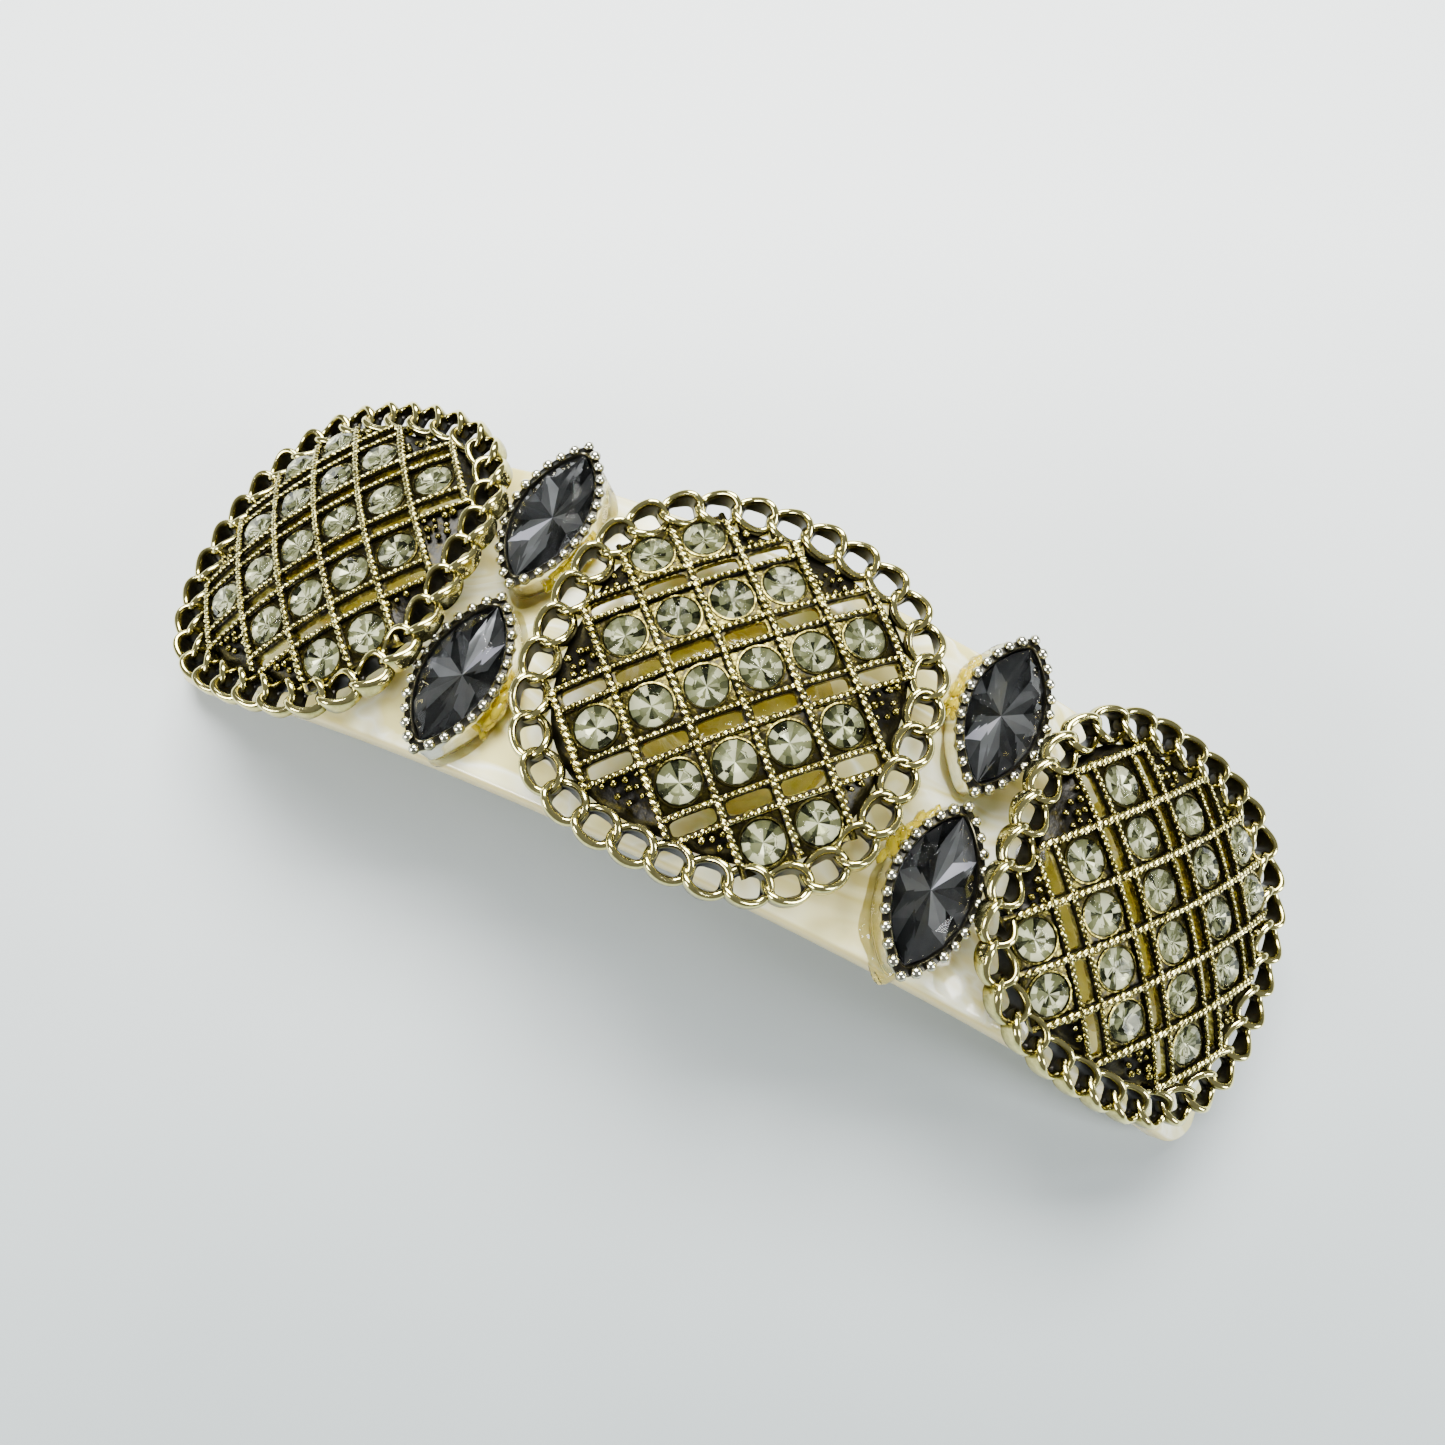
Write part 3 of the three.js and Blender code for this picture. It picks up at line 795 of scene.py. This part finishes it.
def bezel_mesh():
    """Pointed oval cup with a beaded rim."""
    form = Form()
    # length, width, height and patina with painted shade, up the outside and down into the seat, darkest in
    # the groove and the seat under the stone
    profile = (
        (16.3, 8.3, 0.6, 0.3),
        (16.3, 8.3, 1.0, 0.15),
        (16.5, 8.5, 2.4, 0.05),
        (16.9, 8.9, RIM_Z - 0.35, 0.2),
        (16.8, 8.8, RIM_Z - 0.15, 0.8),
        (15.5, 7.75, RIM_Z - 0.1, 0.9),
        (15.0, 7.5, RIM_Z + 0.05, 0.5),
        (14.6, 7.3, RIM_Z - 0.1, 0.9),
        (14.3, 7.1, 1.4, 1.0),
    )
    loops = [marquise(length, width, height) for length, width, height, _ in profile]
    loft(form, loops, [row[-1] for row in profile])
    path = marquise(16.25, 8.4, RIM_Z, count=720, tips=24)
    path = np.vstack([path, path[:1]])
    travelled = distance_along(path)
    for index in range(RIM_BEADS):
        at = travelled[-1] * index / RIM_BEADS
        x, y = (np.interp(at, travelled, path[:, k]) for k in (0, 1))
        ahead = [np.interp((at + 0.2) % travelled[-1], travelled, path[:, k]) for k in (0, 1)]
        heading = math.atan2(ahead[1] - y, ahead[0] - x)
        size = np.array((0.56, 0.56, 0.5)) * dice.uniform(0.9, 1.06)
        bead(form, (x, y, RIM_Z), size, heading, 0.0, 0.95)
    return form.make("bezel", [SILVER], sharp=50)


# painted reflections of the navette's back facets: mostly dark, one bright
MARQUISE_FLASHES = (
    0.05, 0.1, 0.0, 0.1, 0.35, 0.3, 0.1, 0.0, 0.1, 0.0, 0.2, 0.05, 0.25, 0.95, 0.0, 0.3,
    0.5, 0.3, 0.15, 0.0, 0.05, 0.0, 0.1, 0.25, 0.3, 0.4, 0.05, 0.1, 0.1, 0.2, 0.0, 0.15,
)


def marquise_mesh():
    """Navette stone, girdle at z = 0."""
    outline = marquise(14.2, 7.15, 0.0, count=16, tips=0)
    cut = brilliant(outline, table=0.62, crown=0.95, girdle=0.12, depth=1.7, kites=True)
    return stone_mesh("marquise_stone", cut, SMOKE, SMOKE_FOIL, MARQUISE_FLASHES)


GLUE_REACH, GLUE_HALF_LENGTH = 4.4, 8.45
# length, width, height and share of the waviness
GLUE_PROFILE = (
    (17.5, 9.4, -0.35, 1.0),
    (17.4, 9.3, 0.1, 0.9),
    (16.9, 8.9, 0.4, 0.6),
    (16.5, 8.5, 0.8, 0.3),
    (16.0, 8.0, 0.8, 0.0),
)
# shift along the bezel, size and height
GLUE_LUMPS = (
    (-3.3, 0.6, 1.0),
    (-2.3, 0.8, 1.5),
    (-1.2, 0.85, 1.9),
    (-0.1, 0.85, 2.0),
    (0.9, 0.8, 1.7),
    (1.9, 0.7, 1.3),
    (2.8, 0.5, 0.9),
)
LUMPS_AT = {"left_front": -0.5, "left_back": -2.6, "right_front": 4.4, "right_back": 1.8}


def waviness(waves, count, most, harmonics):
    """Smooth unevenness round a loop, about zero."""
    angles = np.arange(count) * math.tau / count
    return sum(waves.uniform(-most, most) * np.sin(angles * k + waves.uniform(0, 6)) for k in harmonics)


def bezel_glue_mesh(seed, inward, lumps_at):
    """Uneven fillet of adhesive round the bezel's foot, heaped up on the side of the middle dome."""
    waves = random.Random(seed)
    form = Form()
    count = 72
    wave = waviness(waves, count, 0.3, (1, 2, 3, 5, 8))
    loops = []
    for length, width, height, share in GLUE_PROFILE:
        loop = marquise(length, width, height, count)
        size = np.linalg.norm(loop[:, :2], axis=1, keepdims=True)
        loop[:, :2] += loop[:, :2] / size * wave[:, None] * share
        if height > 0.5:
            loop[:, 2] += wave * 0.5
        else:
            loop[:, 2] -= loop[:, 0] ** 2 / (2 * PLATE_RADIUS)
        loops.append(loop)
    loft(form, loops, 0.15)
    for shift, size, height in GLUE_LUMPS:
        y = lumps_at + shift
        reach = GLUE_REACH * (1 - (y / GLUE_HALF_LENGTH) ** 2)
        spot = (inward * (reach + waves.uniform(0.1, 0.35)), y, height)
        bead(form, spot, (size * 0.7, size * 1.5, size * 0.85), waves.uniform(-0.5, 0.5), 1.0, 0.6)
    return form.make("bezel_glue", [GLUE], sharp=60)


def bezels():
    bezel, stone = bezel_mesh(), marquise_mesh()
    for number, place in enumerate(("left_front", "left_back", "right_front", "right_back")):
        low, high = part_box(f"bezel_{place}")
        end_sign = -1 if place.startswith("left") else 1
        spot = on_arch(end_sign * BEZEL_ANGLE, PLATE_RADIUS, (low.y + high.y) / 2 / MM)
        turn = Matrix.Rotation(math.pi * (number % 2), 4, "Z")
        piece(f"setting_{place}", bezel, spot @ turn, replaces=(f"bezel_{place}",))
        lift = Matrix.Translation((0, 0, (RIM_Z - 0.15) * MM))
        stone_spot = spot @ lift @ turn
        piece(f"navette_{place}", stone, stone_spot, replaces=(f"marquise_{place}",))
        glue = bezel_glue_mesh(seed=20 + number, inward=-end_sign, lumps_at=LUMPS_AT[place])
        piece(f"glue_{place}", glue, spot, replaces=(f"bezel_glue_{place}",))


# ---- acetate plate and the adhesive under the domes ----


def plate_section(half_width, half):
    """Section across the plate with rounded edges, as (y, height over its middle layer)."""
    quarter = np.linspace(0, math.pi / 2, 5)
    loop = []
    for corner, (sign_y, sign_r) in enumerate(((1, 1), (-1, 1), (-1, -1), (1, -1))):
        arc = quarter if corner % 2 == 0 else quarter[::-1]
        for angle in arc:
            y = sign_y * (half_width - PLATE_EDGE + PLATE_EDGE * math.cos(angle))
            r = sign_r * (half - PLATE_EDGE + PLATE_EDGE * math.sin(angle))
            loop.append((y, r))
        if corner in (0, 2):
            for share in (0.25, 0.5, 0.75):
                loop.append((sign_y * (half_width - PLATE_EDGE) * (1 - 2 * share), sign_r * half))
    return loop


def plate_mesh():
    """Arched plate lofted along its length, with polished rounded edges and corners."""
    form = Form()
    length = PLATE_RADIUS * PLATE_HALF_ANGLE
    half_thickness = PLATE_THICKNESS / 2
    middle = PLATE_RADIUS - half_thickness
    corner_start = length - PLATE_CORNER
    inner = np.linspace(-corner_start, corner_start, 90)
    # the corner's arc stops just short of the very end, which leaves it a face
    turn = np.linspace(0, math.pi / 2 * 0.94, 14)[1:]
    ends = corner_start + PLATE_CORNER * np.sin(turn)
    stations = np.concatenate([-ends[::-1], inner, ends])
    loops, widths = [], []
    for s in stations:
        past = max(0.0, abs(s) - corner_start)
        half_width = PLATE_HALF_WIDTH - PLATE_CORNER + math.sqrt(PLATE_CORNER ** 2 - past ** 2)
        rounding = max(0.0, 1 - (length - abs(s)) / PLATE_EDGE)
        squeeze = math.sqrt(max(0.0, 1 - rounding ** 2))
        section = plate_section(half_width, half_thickness - PLATE_EDGE * (1 - squeeze))
        section = [(y, middle + height) for y, height in section]
        angle = s / PLATE_RADIUS
        widths.append(half_width)
        loops.append([(r * math.sin(angle), y, r * math.cos(angle)) for y, r in section])
    edge = []
    for loop, width in zip(loops, widths):
        edge.append([float(abs(y) > width - PLATE_EDGE * 0.6) for _, y, _ in loop])
    loft(form, loops, edge)

    def settle(points):
        points = points + np.array([0, 0, ARCH_Z])
        points[:, 2] = np.maximum(points[:, 2], 0.0)
        return points

    form.bend(settle)
    return form.make("pearl_plate", [ACETATE], sharp=60)


# radius, and share of the way from the plate up to the casting
MOUND_PROFILE = ((10.2, 0.02), (9.6, 0.15), (8.4, 0.5), (7.8, 0.85), (7.4, 1.0), (3.5, 1.0))


def dome_glue_mesh(seed):
    """Mound of adhesive from the plate up to the underside of a casting, crown at the origin."""
    waves = random.Random(seed)
    form = Form()
    count = 48
    angles = np.arange(count) * math.tau / count
    wave = 1 + waviness(waves, count, 0.1, (1, 2, 3, 4))
    depth = CROWN_RADIUS - PLATE_RADIUS
    loops = []
    for radius, share in MOUND_PROFILE:
        r = radius * wave
        x, y = r * np.cos(angles), r * np.sin(angles)
        low = -depth - x ** 2 / (2 * PLATE_RADIUS) - 0.1
        high = -1.4 - (x ** 2 + y ** 2) / (2 * DOME_RADIUS)
        loops.append(np.column_stack([x, y, low + (high - low) * share]))
    loft(form, loops, 0.6)
    return form.make("dome_glue", [GLUE], sharp=60)


def plate():
    piece("pearl_plate", plate_mesh(), Matrix.Identity(4), replaces=("acetate_plate",))
    for index, side in enumerate(SIDES):
        spot = on_arch((index - 1) * DOME_SPACING, CROWN_RADIUS)
        mound = dome_glue_mesh(seed=40 + index)
        piece(f"mound_{side}", mound, spot, replaces=(f"dome_glue_{side}",))


STEEL_NODES = (
    "back_bar", "rivet_left", "rivet_right", "hinge_bracket", "hinge_pin", "clasp_arm", "catch_bracket"
)
SPRING_NODES = ("tension_spring", "catch_tab_front", "catch_tab_back")


def clasp():
    """The steel clasp keeps its CAD shapes and gets its finish here."""
    for names, material in ((STEEL_NODES, STEEL), (SPRING_NODES, SPRING_STEEL)):
        for name in names:
            for material_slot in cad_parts[name].material_slots:
                material_slot.material = material


# ---- floor, light and camera ----

FLOOR_REACH = 600.0
FLOOR_Z = -0.02
FLOOR_FADE = (-2.6, 5.2, 0.0)  # change of shade for each metre
FLOOR_SHADES = ((0.0, (0.25, 0.295, 0.305)), (1.0, (0.68, 0.71, 0.72)))


def stage():
    """Pale floor, a little darker towards the front."""
    floor_form = Form()
    corners = ((-1, -1), (1, -1), (1, 1), (-1, 1))
    floor_form.add([(x * FLOOR_REACH, y * FLOOR_REACH, FLOOR_Z) for x, y in corners], [(0, 1, 2, 3)])
    material, tree, shader = new_material("floor")
    place = node(tree, "ShaderNodeTexCoord").outputs["Object"]
    along = node(tree, "ShaderNodeVectorMath", operation="DOT_PRODUCT")
    tree.links.new(place, along.inputs[0])
    along.inputs[1].default_value = FLOOR_FADE
    uneven = maths(tree, "MULTIPLY", noise(tree, 30.0, 2.0), 0.1)
    faded = maths(tree, "ADD", maths(tree, "ADD", along.outputs["Value"], uneven), 0.5, clamp=True)
    ramp(tree, faded, FLOOR_SHADES, shader.inputs["Base Color"])
    shader.inputs["Roughness"].default_value = 0.6
    floor = bpy.data.objects.new("floor", floor_form.make("floor", [material], sharp=30))
    bpy.context.scene.collection.objects.link(floor)


def area_light(name, place, size, power, colour=(1, 1, 1)):
    """Soft rectangular lamp aimed at the clip."""
    data = bpy.data.lights.new(name, "AREA")
    data.shape = "RECTANGLE"
    data.size, data.size_y = size
    data.energy = power
    data.color = colour
    light = bpy.data.objects.new(name, data)
    light.location = place
    light.rotation_euler = (Vector((0, 0, 0.02)) - Vector(place)).to_track_quat("-Z", "Y").to_euler()
    bpy.context.scene.collection.objects.link(light)


def lights():
    """Soft lamps above, beside and in front, and a dim studio all round."""
    area_light("overhead", (-0.13, 0.27, 0.47), (0.4, 0.26), 12.5, (1.0, 1.0, 0.97))
    area_light("side", (0.5, 0.0, 0.3), (0.16, 0.3), 4.5, (0.95, 0.98, 1.0))
    area_light("front", (-0.3, -0.4, 0.3), (0.26, 0.14), 3.6)
    world = bpy.data.worlds.new("studio")
    world.use_nodes = True
    world.node_tree.nodes["Background"].inputs["Color"].default_value = (0.93, 0.94, 0.93, 1)
    world.node_tree.nodes["Background"].inputs["Strength"].default_value = 0.2
    bpy.context.scene.world = world


# in mm, with the height counted from the plate's crown
CAMERA_PLACE = (9.51, -33.74, 98.03)
CAMERA_BACK = (0.09003, -0.30741, 0.94731)
CAMERA_RIGHT = (0.90753, 0.41711, 0.04911)
FOCAL_LENGTH = 28.8


def camera():
    """Close, steep view from the front, turned so that the clip runs down to the right."""
    data = bpy.data.cameras.new("camera")
    data.sensor_width = 36.0
    data.lens = FOCAL_LENGTH
    data.clip_start = 0.005
    made = bpy.data.objects.new("camera", data)
    back = Vector(CAMERA_BACK).normalized()
    right = Vector(CAMERA_RIGHT)
    right = (right - back * right.dot(back)).normalized()
    axes = Matrix((right, back.cross(right), back)).transposed().to_4x4()
    x, y, z = CAMERA_PLACE
    made.matrix_world = Matrix.Translation((x * MM, y * MM, PLATE_HIGH.z + z * MM)) @ axes
    bpy.context.scene.collection.objects.link(made)
    bpy.context.scene.camera = made


camera()
stage()
lights()
plate()
domes()
bezels()
clasp()
